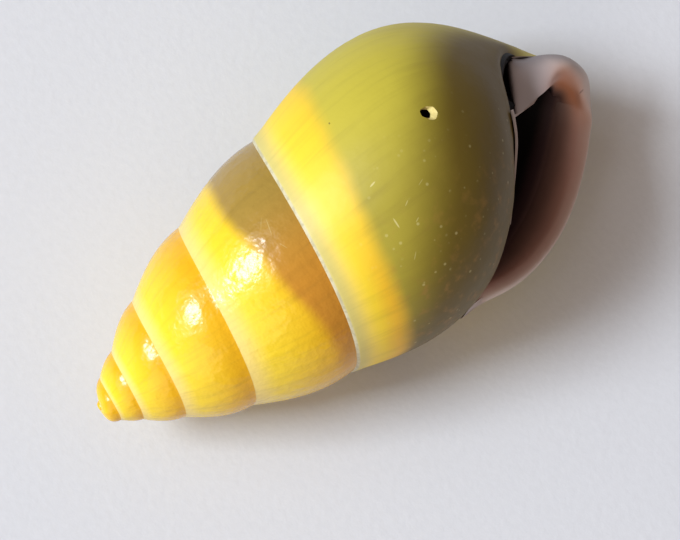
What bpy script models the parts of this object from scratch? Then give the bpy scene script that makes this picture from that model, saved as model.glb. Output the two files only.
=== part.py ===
# Left-handed tree-snail shell, one grown piece, lying on its last turn as it settles on a table.
#
# The shell is a tube wound round an axis. Turns are counted from the apex: turn 0 is the tip and the
# lip stands at LAST_TURN. The suture, where each turn meets the turn before it, is a spiral with a
# radius and a depth below the apex for every turn. The outer face of a turn is drawn from its own
# suture to the next one, and on the last turn on round the base to the navel. The hollow runs from
# the aperture up into the first turns, and everything joins in one closed skin.

import math

import bmesh
import bpy
import numpy as np
from mathutils import Matrix, Vector

MM = 0.001

# Suture at turns 0 to 7 from the apex, in millimetres. The last two guide the base of the last turn.
SUTURE_RADIUS = (0.0, 1.9, 2.9, 5.0, 7.6, 10.1, 11.9, 15.3)
SUTURE_DEPTH = (0.0, 1.1, 2.8, 6.0, 11.7, 20.4, 30.7, 44.0)
LAST_TURN = 5.81
START_ANGLE = math.radians(-110.5)

# Outer face between two sutures: how far it swells, as a share of its length.
SWELL_MIDDLE = 0.075
SWELL_SLOPE = 0.009
SWELL_CURVE = -0.027
SWELL_TURN = 2.5
SWELL_SKEW = -0.284
APEX_DOME = 0.2
SIDE_SHARE = 1 / 3

# Base of the last turn, as shares of the radius, and the navel that it closes on, in millimetres.
BASE_TURN = 5.0
BASE_DEPTH = 0.832
BASE_DEPTH_GAIN = 0.11
BASE_HANDLE = 0.639
BASE_END = 0.01
BASE_END_GAIN = 0.7
BASE_END_TURN = 5.25
BASE_END_RISE = 0.04
NAVEL_RADIUS = 4.4
NAVEL_SHRINK = 3.3
NAVEL_CURVE = 4.6
NAVEL_DROP = 0.7
NAVEL_DROP_TURN = 5.3
NAVEL_DROP_LENGTH = 0.25

# Lip: lengths round the shell in turns, the rest in millimetres.
LIP_LAG = 0.177
LIP_TAIL = 0.06
LIP_TAIL_POWER = 5
LIP_LAG_LENGTH = 0.7
LIP_DRAW_IN = 0.7
LIP_DRAW_LENGTH = 0.45
LIP_CORNER = 0.13
LIP_TUCK = 0.3
LIP_TUCK_START = 0.04
LIP_TUCK_END = 0.1
LIP_FLARE = 0.75
LIP_FLARE_LENGTH = 0.12
LIP_FLARE_START = 0.42
LIP_FLARE_FULL = 0.77
LIP_FLARE_END = 0.35

# Wall and column, in millimetres.
WALL = 0.45
WALL_FULL_RADIUS = 12.0
WALL_LEAST = 0.3
LIP_EXTRA = 1.2
LIP_EXTRA_LENGTH = 0.4
LIP_BEVEL = 0.85
LIP_BEVEL_LENGTH = 0.06
COLUMN_RADIUS = 1.25
COLUMN_GAP = 0.15
PLATE_RADIUS_SHARE = 0.7
PLATE_RISE = 3.6
CORNER_REACH = 0.06

# Fineness of the skin.
TURN_STEPS = 36
SIDE_STEPS = 6
BASE_STEPS = 7
TUBE_STEPS = 20
TUBE_END_TURN = 1.8
INNER_SIDE_FIRST = 0.16
INNER_SIDE_EXTRA = 0.2
INNER_BASE_LAST = 0.94
PLATE_STEPS = 3
COLUMN_STEPS = 3

# How it lies: which side of the last turn is down, and how far the axis leans from level.
DOWN_ANGLE = math.radians(95.95)
APEX_LEAN = math.radians(9.73)
# Height up to which the belly is level where it touches the ground, in millimetres.
FOOT_LEVEL = 0.08

SHELL_COLOUR = (0.52, 0.42, 0.04, 1.0)
SHELL_ROUGHNESS = 0.35


def ease(x):
    x = np.clip(x, 0, 1)
    return x * x * (3 - 2 * x)


def spline(values):
    """Natural cubic curve through values at 0, 1, 2 and so on."""
    y = np.array(values, float)
    last = len(y) - 1
    rows = np.eye(last + 1)
    bends = np.zeros(last + 1)
    for i in range(1, last):
        rows[i, i - 1:i + 2] = (1, 4, 1)
        bends[i] = 6 * (y[i + 1] - 2 * y[i] + y[i - 1])
    bends = np.linalg.solve(rows, bends)

    def at(x):
        x = np.maximum(x, 0.0)
        i = np.clip(np.floor(x).astype(int), 0, last - 1)
        b = x - i
        a = 1 - b
        return a * y[i] + b * y[i + 1] + ((a**3 - a) * bends[i] + (b**3 - b) * bends[i + 1]) / 6

    return at


suture_radius = spline(SUTURE_RADIUS)
suture_depth = spline(SUTURE_DEPTH)


def place(turn, radius, depth):
    """Point on the shell standing on its base end, apex at the origin, axis along Z."""
    angle = START_ANGLE + 2 * math.pi * turn
    return np.stack([radius * np.cos(angle), radius * np.sin(angle), -depth], axis=-1)


def swell(turn):
    turn = np.maximum(turn, 0.0)
    x = turn / SWELL_TURN - 1
    dome = APEX_DOME * np.clip(1 - turn, 0, 1)**3
    return SWELL_MIDDLE + SWELL_SLOPE * x + SWELL_CURVE * x * x + dome


def side(turn, share):
    """Radius and depth between a turn's suture, share 0, and the next one, share 1."""
    radius, depth = suture_radius(turn), suture_depth(turn)
    wider = suture_radius(turn + 1) - radius
    deeper = suture_depth(turn + 1) - depth
    out = swell(turn) * 4 * share * (1 - share) * (1 + SWELL_SKEW * (1 - 2 * share))
    return radius + wider * share + deeper * out, depth + deeper * share - wider * out


def navel(turn):
    """Radius and depth of the edge that the base closes on."""
    after = np.maximum(turn - BASE_TURN, 0.0)
    before = suture_radius(np.minimum(turn, BASE_TURN) + 1) / suture_radius(BASE_TURN + 1)
    radius = NAVEL_RADIUS * before - NAVEL_SHRINK * after + NAVEL_CURVE * after**2
    share = BASE_DEPTH + BASE_DEPTH_GAIN * (turn - BASE_TURN)
    drop = NAVEL_DROP * ease((turn - NAVEL_DROP_TURN) / NAVEL_DROP_LENGTH)
    return radius, suture_depth(turn + 1) + share * suture_radius(turn + 1) + drop


def base(turn, share):
    """Radius and depth from the next suture, share 0, round the base to the navel, share 1."""
    small = 0.001
    radius, depth = suture_radius(turn + 1), suture_depth(turn + 1)
    near_radius, near_depth = side(turn, 1 - small)
    length = np.hypot(radius - near_radius, depth - near_depth)
    handle = BASE_HANDLE * radius / length
    end_radius, end_depth = navel(turn)
    end_handle = BASE_END + BASE_END_GAIN * np.maximum(turn - BASE_END_TURN, 0.0)
    radii = (radius, radius + (radius - near_radius) * handle, end_radius + end_handle * radius, end_radius)
    depths = (depth, depth + (depth - near_depth) * handle, end_depth - BASE_END_RISE * radius, end_depth)
    weights = ((1 - share)**3, 3 * (1 - share)**2 * share, 3 * (1 - share) * share**2, share**3)
    return sum(w * r for w, r in zip(weights, radii)), sum(w * d for w, d in zip(weights, depths))


def profile(turn, across):
    """Radius and depth across the whole outer face: 0 at the suture, 1 at the navel."""
    turn, across = np.broadcast_arrays(np.asarray(turn, float), np.asarray(across, float))
    side_radius, side_depth = side(turn, np.minimum(across / SIDE_SHARE, 1))
    base_radius, base_depth = base(turn, np.maximum(across - SIDE_SHARE, 0) / (1 - SIDE_SHARE))
    on_side = across <= SIDE_SHARE
    return np.where(on_side, side_radius, base_radius), np.where(on_side, side_depth, base_depth)


def outward(turn, across):
    """Unit direction out of the face, in radius and depth."""
    small = 0.001
    radius_0, depth_0 = profile(turn, np.clip(across - small, 0, 1))
    radius_1, depth_1 = profile(turn, np.clip(across + small, 0, 1))
    length = np.hypot(radius_1 - radius_0, depth_1 - depth_0)
    return (depth_1 - depth_0) / length, (radius_0 - radius_1) / length


def near_lip(turn, length):
    """0 on the older shell, rising to 1 at the lip."""
    return ease((turn - LAST_TURN + length) / length)


def slanted(turn, across):
    """The growth lines slant back towards the navel as they near the lip."""
    lag = LIP_LAG * np.sin(math.pi / 2 * across) + LIP_TAIL * across**LIP_TAIL_POWER
    return turn - lag * near_lip(turn, LIP_LAG_LENGTH)


def drawn_in(turn, across):
    """How far the face draws in towards the lip, less the flare of the lip's turned-out edge."""
    tuck = ease(across / LIP_TUCK_START) * (1 - ease((across - LIP_TUCK_START) / LIP_TUCK_END))
    inwards = LIP_DRAW_IN * ease(across / LIP_CORNER) + LIP_TUCK * tuck
    flare = ease((across - LIP_FLARE_START) / (LIP_FLARE_FULL - LIP_FLARE_START))
    flare = flare * (1 - (1 - LIP_FLARE_END) * ease((across - LIP_FLARE_FULL) / (1 - LIP_FLARE_FULL)))
    return inwards * near_lip(turn, LIP_DRAW_LENGTH) - LIP_FLARE * flare * near_lip(turn, LIP_FLARE_LENGTH)


def outer(turn, across, inset=0.0):
    """Points of the outer face, or of the face that lies inset millimetres under it."""
    turn, across = np.broadcast_arrays(np.asarray(turn, float), np.asarray(across, float))
    grown = slanted(turn, across)
    radius, depth = profile(grown, across)
    out_radius, out_depth = outward(grown, across)
    pull = drawn_in(turn, across) + inset
    return place(grown, radius - out_radius * pull, depth - out_depth * pull)


def wall(turn):
    grown = np.clip(suture_radius(turn + 1) / WALL_FULL_RADIUS, WALL_LEAST, 1)
    thicker = LIP_EXTRA * near_lip(turn, LIP_EXTRA_LENGTH) - LIP_BEVEL * near_lip(turn, LIP_BEVEL_LENGTH)
    return WALL * grown + thicker


def column_radius(turn):
    return COLUMN_RADIUS * suture_radius(turn + 1) / suture_radius(BASE_TURN + 1)


def plate_depth(grown):
    """Depth of the plate over the navel where it meets the column: it climbs towards the lip."""
    first, last = LAST_TURN - 1, LAST_TURN - LIP_LAG
    return navel(grown)[1] - PLATE_RISE * ease((grown - first) / (last - first))


def column(turn, share):
    """Points down the column inside the tube, from share 0 under the turn above to share 1."""
    grown = turn - LIP_LAG * near_lip(turn, LIP_LAG_LENGTH)
    top = navel(turn - 1)[1] + COLUMN_GAP
    foot = plate_depth(grown) - wall(turn)
    return place(grown, column_radius(turn) + 0 * share, top + (foot - top) * share)


def plate(turn, share):
    """Points of the plate over the navel, from share 0 at the navel edge in to the column."""
    grown = slanted(turn, 1.0)
    edge_radius, edge_depth = navel(grown)
    radius = edge_radius + (PLATE_RADIUS_SHARE * column_radius(turn) - edge_radius) * share
    depth = edge_depth + (plate_depth(grown) - edge_depth) * share
    return place(grown, radius, depth - drawn_in(turn, 1.0))


class Skin:
    """A closed skin made of rows of points and the faces between them."""

    def __init__(self):
        self.bm = bmesh.new()

    def point(self, position):
        return self.bm.verts.new(Vector(position) * MM)

    def row(self, positions):
        return [self.point(position) for position in positions]

    def face(self, *corners):
        """A face; corners that fall together are counted once."""
        corners = list(dict.fromkeys(corners))
        if len(corners) > 2:
            self.bm.faces.new(corners)

    def strip(self, first, second):
        for i in range(len(first) - 1):
            self.face(first[i], first[i + 1], second[i + 1], second[i])

    def stitch(self, first, second):
        """Triangles between two rows that may have different numbers of points."""
        first_last, second_last = len(first) - 1, len(second) - 1
        i = j = 0
        while i < first_last or j < second_last:
            if i < first_last and (j == second_last or (i + 1) * second_last <= (j + 1) * first_last):
                self.face(first[i], first[i + 1], second[j])
                i += 1
            else:
                self.face(first[i], second[j + 1], second[j])
                j += 1

    def fan(self, ring):
        middle = sum((vert.co for vert in ring), Vector()) / len(ring)
        centre = self.bm.verts.new(middle)
        for a, b in zip(ring, ring[1:] + ring[:1]):
            self.face(a, b, centre)

    def mesh(self, name):
        bmesh.ops.triangulate(self.bm, faces=self.bm.faces)
        bmesh.ops.recalc_face_normals(self.bm, faces=self.bm.faces)
        mesh = bpy.data.meshes.new(name)
        self.bm.to_mesh(mesh)
        self.bm.free()
        return mesh


def add_turns(skin):
    """Outer faces of all turns. The foot of each row is the head of the row one turn later."""
    steps = int((LAST_TURN + 1) * TURN_STEPS)
    turns = LAST_TURN - np.arange(steps, -1, -1) / TURN_STEPS
    across = np.linspace(0, SIDE_SHARE, SIDE_STEPS + 1)
    apex = skin.point((0, 0, 0))
    rows = [[apex] * SIDE_STEPS + [skin.point(outer(turns[0], SIDE_SHARE))]]
    for i in range(1, steps + 1):
        head = rows[i - TURN_STEPS][-1] if i >= TURN_STEPS else apex
        rows.append([head] + skin.row(outer(turns[i], across[1:])))
    for first, second in zip(rows, rows[1:]):
        skin.strip(first, second)
    return turns[-TURN_STEPS - 1:], rows[-TURN_STEPS - 1:]


def base_shares():
    """Spacing round the base: one short step to the corner of the aperture, then even ones."""
    even = np.arange(1, BASE_STEPS) / (BASE_STEPS - 1)
    return np.concatenate([[0, CORNER_REACH], CORNER_REACH + (1 - CORNER_REACH) * even])


def add_base(skin, turns, sides):
    """Base of the last turn, from the foot of each side row to the navel."""
    across = SIDE_SHARE + (1 - SIDE_SHARE) * base_shares()
    rows = []
    for turn, side_row in zip(turns, sides):
        rows.append([side_row[-1]] + skin.row(outer(turn, across[1:])))
    for first, second in zip(rows, rows[1:]):
        skin.strip(first, second)
    return rows


def inner_across(turn):
    """Spacing across the inner face of the tube, clear of the narrow corner at the suture."""
    first = INNER_SIDE_FIRST + INNER_SIDE_EXTRA * near_lip(turn, LIP_EXTRA_LENGTH)
    on_side = SIDE_SHARE * np.linspace(first, 1, SIDE_STEPS)
    on_base = SIDE_SHARE + (1 - SIDE_SHARE) * np.linspace(0, INNER_BASE_LAST, BASE_STEPS)[1:]
    return np.concatenate([on_side, on_base])


def inner_row(skin, turn):
    return skin.row(outer(turn, inner_across(turn), wall(turn)))


def column_row(skin, turn):
    return skin.row(column(turn, np.linspace(1, 0, COLUMN_STEPS + 1)))


def add_plate(skin, turns, bases, column_top):
    """Plate that folds over the navel, from the navel edge of each base row to the column."""
    shares = np.linspace(0, 1, PLATE_STEPS + 1)[1:]
    rows = [[bases[0][-1]] + skin.row(plate(turns[0], shares[:-1])) + [column_top]]
    for turn, base_row in zip(turns[1:], bases[1:]):
        rows.append([base_row[-1]] + skin.row(plate(turn, shares)))
    for first, second in zip(rows, rows[1:]):
        skin.strip(first, second)
    return rows


def add_lip(skin, turns, sides, bases):
    """Lip from its outer to its inner edge, with the plate over the navel and the column's end.

    Returns the first ring of the hollow, which ends on the face of the turn before."""
    inner_edge = [bases[0][1]] + inner_row(skin, LAST_TURN)
    column_edge = column_row(skin, LAST_TURN)
    plates = add_plate(skin, turns, bases, column_edge[-1])
    skin.stitch(inner_edge + column_edge[:1], sides[-1] + bases[-1][1:] + plates[-1][1:])
    skin.stitch(column_edge, [row[-1] for row in reversed(plates)])
    return inner_edge + column_edge + plates[0][-2:0:-1] + bases[0][:1:-1]


def add_hollow(skin, ring):
    """The tube that the snail lived in, ring by ring from the aperture up to its closed end."""
    steps = int((LAST_TURN - TUBE_END_TURN) * TUBE_STEPS)
    shares = np.linspace(1, 0, PLATE_STEPS + 1)[1:-1]
    for turn in LAST_TURN - np.arange(1, steps + 1) / TUBE_STEPS:
        ceiling = skin.row(place(turn - 1, *base(turn - 1, base_shares()[:0:-1])))
        under_plate = skin.row(plate(turn - 1, shares))
        new_ring = ceiling[-1:] + inner_row(skin, turn) + column_row(skin, turn) + under_plate
        new_ring += ceiling[:-1]
        skin.strip(ring + ring[:1], new_ring + new_ring[:1])
        ring = new_ring
    skin.fan(ring)


def lying():
    """Rotation that lays the shell down: apex towards -X, the DOWN_ANGLE side of the axis down."""
    to_side = Vector((math.cos(DOWN_ANGLE), math.sin(DOWN_ANGLE), 0))
    down = to_side * math.cos(APEX_LEAN) + Vector((0, 0, math.sin(APEX_LEAN)))
    forward = to_side * math.sin(APEX_LEAN) - Vector((0, 0, math.cos(APEX_LEAN)))
    up = -down
    return Matrix((forward, up.cross(forward), up)).to_4x4()


def settle(mesh):
    """Lay the mesh down, its box centred on the origin, its belly level where it touches the ground."""
    mesh.transform(lying())
    points = np.array([vert.co for vert in mesh.vertices])
    points[:, 2] = np.maximum(points[:, 2], points[:, 2].min() + FOOT_LEVEL * MM)
    low, high = points.min(axis=0), points.max(axis=0)
    points -= ((low[0] + high[0]) / 2, (low[1] + high[1]) / 2, low[2])
    for vert, point in zip(mesh.vertices, points):
        vert.co = point


def shell_material():
    material = bpy.data.materials.new("shell")
    material.use_nodes = True
    surface = material.node_tree.nodes["Principled BSDF"]
    surface.inputs["Base Color"].default_value = SHELL_COLOUR
    surface.inputs["Roughness"].default_value = SHELL_ROUGHNESS
    surface.inputs["Metallic"].default_value = 0.0
    return material


def make_shell(collection):
    skin = Skin()
    turns, sides = add_turns(skin)
    bases = add_base(skin, turns, sides)
    add_hollow(skin, add_lip(skin, turns, sides, bases))
    mesh = skin.mesh("shell")
    settle(mesh)
    mesh.materials.append(shell_material())
    mesh.shade_smooth()
    mesh.set_sharp_from_angle(angle=math.radians(50))
    shell = bpy.data.objects.new("shell", mesh)
    collection.objects.link(shell)
    return shell


def main():
    for obj in list(bpy.data.objects):
        bpy.data.objects.remove(obj, do_unlink=True)
    collection = bpy.data.collections.new("snail_shell")
    bpy.context.scene.collection.children.link(collection)
    make_shell(collection)


main()
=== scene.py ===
# %% [markdown]
# # A left-handed tree-snail shell
# A snail shell is one tube that widens as it winds down an axis. This lesson builds its looks round
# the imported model: a finer skin with the true seams, lip and growth lines, then the glaze colours.
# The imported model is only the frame. It says where the shell lies and how large it is.

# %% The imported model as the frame
import math

import bmesh
import bpy
import numpy as np
from mathutils import Matrix, Vector


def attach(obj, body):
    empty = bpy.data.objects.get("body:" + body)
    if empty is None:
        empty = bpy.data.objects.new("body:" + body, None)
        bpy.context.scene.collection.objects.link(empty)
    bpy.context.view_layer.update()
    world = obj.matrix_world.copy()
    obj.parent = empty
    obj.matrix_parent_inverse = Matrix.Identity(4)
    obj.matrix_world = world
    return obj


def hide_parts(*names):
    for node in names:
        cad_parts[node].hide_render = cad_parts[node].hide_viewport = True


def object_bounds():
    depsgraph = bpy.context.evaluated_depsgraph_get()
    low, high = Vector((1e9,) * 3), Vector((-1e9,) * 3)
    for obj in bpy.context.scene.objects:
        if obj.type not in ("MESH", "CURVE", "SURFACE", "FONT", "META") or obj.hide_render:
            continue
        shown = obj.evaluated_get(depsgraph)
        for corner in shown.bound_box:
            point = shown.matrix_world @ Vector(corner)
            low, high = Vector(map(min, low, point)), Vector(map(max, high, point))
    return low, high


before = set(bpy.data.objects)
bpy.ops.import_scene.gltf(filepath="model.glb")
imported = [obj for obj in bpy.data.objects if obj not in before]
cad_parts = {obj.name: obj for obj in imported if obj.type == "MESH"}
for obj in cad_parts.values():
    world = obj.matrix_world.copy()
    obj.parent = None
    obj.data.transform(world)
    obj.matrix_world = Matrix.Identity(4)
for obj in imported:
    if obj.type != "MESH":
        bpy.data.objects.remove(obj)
cad_low, cad_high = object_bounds()
print("frame box, mm:", [round((b - a) * 1000, 1) for a, b in zip(cad_low, cad_high)])

# %% [markdown]
# ## The spiral
# The seam between two turns of a shell is called the suture. It is a spiral, so one radius and one
# depth below the apex for every whole turn say all about it, with a smooth curve between them. A
# single growth rate would be shorter to write, but a real shell grows faster at some ages.

# %% The suture's radius and depth
MM = 0.001
SUTURE_RADIUS = (0.0, 1.9, 2.9, 5.0, 7.6, 10.1, 11.9, 15.3)
SUTURE_DEPTH = (0.0, 1.1, 2.8, 6.0, 11.7, 20.4, 30.7, 44.0)
LAST_TURN = 5.81
START_ANGLE = math.radians(-110.5)


def ease(x):
    """Smooth step from 0 to 1."""
    x = np.clip(x, 0, 1)
    return x * x * (3 - 2 * x)


def rise(x, start, length):
    """0 up to start, then smoothly to 1 over a length."""
    return ease((x - start) / length)


def spline(values):
    """Natural cubic curve through values at 0, 1, 2 and so on."""
    y = np.array(values, float)
    last = len(y) - 1
    rows = np.eye(last + 1)
    bends = np.zeros(last + 1)
    for i in range(1, last):
        rows[i, i - 1:i + 2] = (1, 4, 1)
        bends[i] = 6 * (y[i + 1] - 2 * y[i] + y[i - 1])
    bends = np.linalg.solve(rows, bends)

    def at(x):
        x = np.maximum(x, 0.0)
        i = np.clip(np.floor(x).astype(int), 0, last - 1)
        b = x - i
        a = 1 - b
        return a * y[i] + b * y[i + 1] + ((a**3 - a) * bends[i] + (b**3 - b) * bends[i + 1]) / 6

    return at


suture_radius = spline(SUTURE_RADIUS)
suture_depth = spline(SUTURE_DEPTH)


def place(turn, radius, depth):
    """Point in millimetres on the shell standing upright, apex at the origin."""
    angle = START_ANGLE + 2 * math.pi * turn
    return np.stack([radius * np.cos(angle), radius * np.sin(angle), -depth], axis=-1)


print("suture at the last turn, mm:", place(5.0, suture_radius(5.0), suture_depth(5.0)).round(1))

# %% [markdown]
# ## The face of a turn
# Between two sutures the face swells out like a barrel stave. On the last turn it runs on round the
# base and closes on the navel, the small pit beside the axis. Both are drawn in the half plane of
# radius and depth: the side as a bulged chord, the base as a Bezier curve that leaves the side
# without a kink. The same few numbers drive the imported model, so both have one form.

# %% Side, base and navel
SWELL_MIDDLE = 0.075
SWELL_SLOPE = 0.009
SWELL_CURVE = -0.027
SWELL_TURN = 2.5
SWELL_SKEW = -0.284
APEX_DOME = 0.2
SIDE_SHARE = 1 / 3

BASE_TURN = 5.0
BASE_DEPTH = 0.832
BASE_DEPTH_GAIN = 0.11
BASE_HANDLE = 0.639
BASE_END = 0.01
BASE_END_GAIN = 0.7
BASE_END_TURN = 5.25
BASE_END_RISE = 0.04
NAVEL_RADIUS = 4.4
NAVEL_SHRINK = 3.3
NAVEL_CURVE = 4.6
NAVEL_DROP = 0.7
NAVEL_DROP_TURN = 5.3
NAVEL_DROP_LENGTH = 0.25


def side(turn, share):
    """Radius and depth between a turn's suture, share 0, and the next one, share 1."""
    radius, depth = suture_radius(turn), suture_depth(turn)
    wider = suture_radius(turn + 1) - radius
    deeper = suture_depth(turn + 1) - depth
    x = np.maximum(turn, 0.0) / SWELL_TURN - 1
    swell = SWELL_MIDDLE + SWELL_SLOPE * x + SWELL_CURVE * x * x
    swell = swell + APEX_DOME * np.clip(1 - np.maximum(turn, 0.0), 0, 1)**3
    out = swell * 4 * share * (1 - share) * (1 + SWELL_SKEW * (1 - 2 * share))
    return radius + wider * share + deeper * out, depth + deeper * share - wider * out


def navel(turn):
    """Radius and depth of the edge that the base closes on."""
    after = np.maximum(turn - BASE_TURN, 0.0)
    before = suture_radius(np.minimum(turn, BASE_TURN) + 1) / suture_radius(BASE_TURN + 1)
    radius = NAVEL_RADIUS * before - NAVEL_SHRINK * after + NAVEL_CURVE * after**2
    share = BASE_DEPTH + BASE_DEPTH_GAIN * (turn - BASE_TURN)
    drop = NAVEL_DROP * rise(turn, NAVEL_DROP_TURN, NAVEL_DROP_LENGTH)
    return radius, suture_depth(turn + 1) + share * suture_radius(turn + 1) + drop


def base(turn, share):
    """Radius and depth from the next suture, share 0, round the base to the navel, share 1."""
    small = 0.001
    radius, depth = suture_radius(turn + 1), suture_depth(turn + 1)
    near_radius, near_depth = side(turn, 1 - small)
    length = np.hypot(radius - near_radius, depth - near_depth)
    handle = BASE_HANDLE * radius / length
    end_radius, end_depth = navel(turn)
    end_handle = BASE_END + BASE_END_GAIN * np.maximum(turn - BASE_END_TURN, 0.0)
    first_radius = radius + (radius - near_radius) * handle
    first_depth = depth + (depth - near_depth) * handle
    radii = (radius, first_radius, end_radius + end_handle * radius, end_radius)
    depths = (depth, first_depth, end_depth - BASE_END_RISE * radius, end_depth)
    rest = 1 - share
    weights = (rest**3, 3 * rest**2 * share, 3 * rest * share**2, share**3)
    radius = sum(w * r for w, r in zip(weights, radii))
    depth = sum(w * d for w, d in zip(weights, depths))
    return radius, depth


def profile(turn, across):
    """Radius and depth across the whole face: 0 at the suture, 1 at the navel."""
    turn, across = np.broadcast_arrays(np.asarray(turn, float), np.asarray(across, float))
    side_radius, side_depth = side(turn, np.minimum(across / SIDE_SHARE, 1))
    base_radius, base_depth = base(turn, np.maximum(across - SIDE_SHARE, 0) / (1 - SIDE_SHARE))
    on_side = across <= SIDE_SHARE
    return np.where(on_side, side_radius, base_radius), np.where(on_side, side_depth, base_depth)


def outward(turn, across):
    """Unit direction out of the face, in radius and depth."""
    small = 0.001
    radius_0, depth_0 = profile(turn, np.clip(across - small, 0, 1))
    radius_1, depth_1 = profile(turn, np.clip(across + small, 0, 1))
    length = np.hypot(radius_1 - radius_0, depth_1 - depth_0)
    return (depth_1 - depth_0) / length, (radius_0 - radius_1) / length


print("last turn, widest radius, mm:", round(float(profile(5.5, np.linspace(0, 1, 50))[0].max()), 2))

# %% [markdown]
# ## Towards the lip
# A snail adds shell at the aperture only, so every growth line is an old lip. Near the end these
# lines slant back towards the navel, the face draws in a little and the wall thickens into the
# turned-out lip of a grown animal. All three fade in over part of the last turn.

# %% Slant, draw-in and wall
LIP_LAG = 0.177
LIP_TAIL = 0.06
LIP_TAIL_POWER = 5
LIP_LAG_LENGTH = 0.7
LIP_DRAW_IN = 0.7
LIP_DRAW_LENGTH = 0.45
LIP_CORNER = 0.13
LIP_TUCK = 0.3
LIP_TUCK_START = 0.04
LIP_TUCK_END = 0.1
LIP_FLARE = 0.75
LIP_FLARE_LENGTH = 0.12
LIP_FLARE_START = 0.42
LIP_FLARE_FULL = 0.77
LIP_FLARE_END = 0.35
WALL = 0.45
WALL_FULL_RADIUS = 12.0
WALL_LEAST = 0.3
LIP_EXTRA = 1.2
LIP_EXTRA_LENGTH = 0.4
LIP_BEVEL = 0.85
LIP_BEVEL_LENGTH = 0.06


def near_lip(turn, length):
    """0 on the older shell, rising to 1 at the lip."""
    return ease((turn - LAST_TURN + length) / length)


def slanted(turn, across):
    lag = LIP_LAG * np.sin(math.pi / 2 * across) + LIP_TAIL * across**LIP_TAIL_POWER
    return turn - lag * near_lip(turn, LIP_LAG_LENGTH)


def wall(turn):
    grown = np.clip(suture_radius(turn + 1) / WALL_FULL_RADIUS, WALL_LEAST, 1)
    thicker = LIP_EXTRA * near_lip(turn, LIP_EXTRA_LENGTH) - LIP_BEVEL * near_lip(turn, LIP_BEVEL_LENGTH)
    return WALL * grown + thicker


def drawn_in(turn, across):
    """How far the face draws in towards the lip, less the flare of the lip's turned-out edge."""
    tuck = ease(across / LIP_TUCK_START) * (1 - rise(across, LIP_TUCK_START, LIP_TUCK_END))
    inwards = LIP_DRAW_IN * ease(across / LIP_CORNER) + LIP_TUCK * tuck
    flare = rise(across, LIP_FLARE_START, LIP_FLARE_FULL - LIP_FLARE_START)
    flare = flare * (1 - (1 - LIP_FLARE_END) * rise(across, LIP_FLARE_FULL, 1 - LIP_FLARE_FULL))
    outwards = LIP_FLARE * flare * near_lip(turn, LIP_FLARE_LENGTH)
    return inwards * near_lip(turn, LIP_DRAW_LENGTH) - outwards


def outer(turn, across, inset=0.0):
    """Points of the face, or of the face that lies inset millimetres under it."""
    turn, across = np.broadcast_arrays(np.asarray(turn, float), np.asarray(across, float))
    grown = slanted(turn, across)
    radius, depth = profile(grown, across)
    out_radius, out_depth = outward(grown, across)
    pull = drawn_in(turn, across) + inset
    return place(grown, radius - out_radius * pull, depth - out_depth * pull)


print("wall, mm: old", round(float(wall(3.0)), 2), "lip", round(float(wall(LAST_TURN)), 2))

# %% [markdown]
# ## The column and the plate over the navel
# Inside the shell, the turns wind round a slim column. At the aperture its end spreads into a pale
# plate that folds back over the navel and leaves a dark chink beside it. The plate is laid out as
# rows from the edge of the base in to the column, with the chink as a narrow valley in front. Behind
# the chink it sinks into a pit, and under the rolled lip it is pushed aside to stay out of sight.

# %% Column and plate
COLUMN_RADIUS = 1.25
COLUMN_GAP = 0.15
PLATE_RADIUS_SHARE = 0.7
PLATE_RISE = 3.6
PLATE_EDGE = 0.09
PLATE_INWARDS = 0.7
PLATE_FOOT = 0.8
PIT_DEPTH = 0.7
PIT_START = 4.85
PIT_SLOPE = 0.2
PIT_END = 5.345
PIT_WALL = 0.04
UNDER_ROLL = np.array([1.3, 1.1, 0.0])
UNDER_ROLL_START = 5.3
UNDER_ROLL_LENGTH = 0.12
UNDER_ROLL_COLUMN = 0.7
UNDER_ROLL_PLATE = 0.2


def column_radius(turn):
    return COLUMN_RADIUS * suture_radius(turn + 1) / suture_radius(BASE_TURN + 1)


def plate_depth(grown):
    """Depth where the plate meets the column: it climbs towards the lip."""
    first, last = LAST_TURN - 1, LAST_TURN - LIP_LAG
    return navel(grown)[1] - PLATE_RISE * ease((grown - first) / (last - first))


def under_roll(turn, share):
    """How the plate and the column's foot move aside to stay clear of the rolled lip over them."""
    aside = rise(turn, UNDER_ROLL_START, UNDER_ROLL_LENGTH) * ease(share)
    return UNDER_ROLL * aside[..., None]


def column(turn, share):
    """Points down the column inside the tube, from share 0 under the turn above to share 1."""
    grown = turn - LIP_LAG * near_lip(turn, LIP_LAG_LENGTH)
    top = navel(turn - 1)[1] + COLUMN_GAP
    foot = plate_depth(grown) - wall(turn)
    points = place(grown, column_radius(turn) + 0 * share, top + (foot - top) * share)
    return points + under_roll(turn, (share - UNDER_ROLL_COLUMN) / (1 - UNDER_ROLL_COLUMN))


def over_last_turn(values):
    """A curve through values at every tenth of the last turn, flat before it."""
    curve = spline(values)
    return lambda turn: curve((np.asarray(turn) - LAST_TURN + 1) * 10)


rim_drop = over_last_turn((0, 0, 0, 0.1, 0.4, 0.75, 0.85, 0.7, 0.35, 0.05, 0))
plate_lift = over_last_turn((0, 0, 0, 0, 0, 0, 0, -0.4, -0.3, 0.3, 0))
plate_inset = over_last_turn((0, 0, 0, 0, 0.1, 0.25, 0.45, 0.7, 0.5, 0.1, 0))
chink_depth = over_last_turn((0, 0, 0, 0.1, 0.3, 0.4, 0.5, 0.5, 0.3, 0.1, 0))


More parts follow.
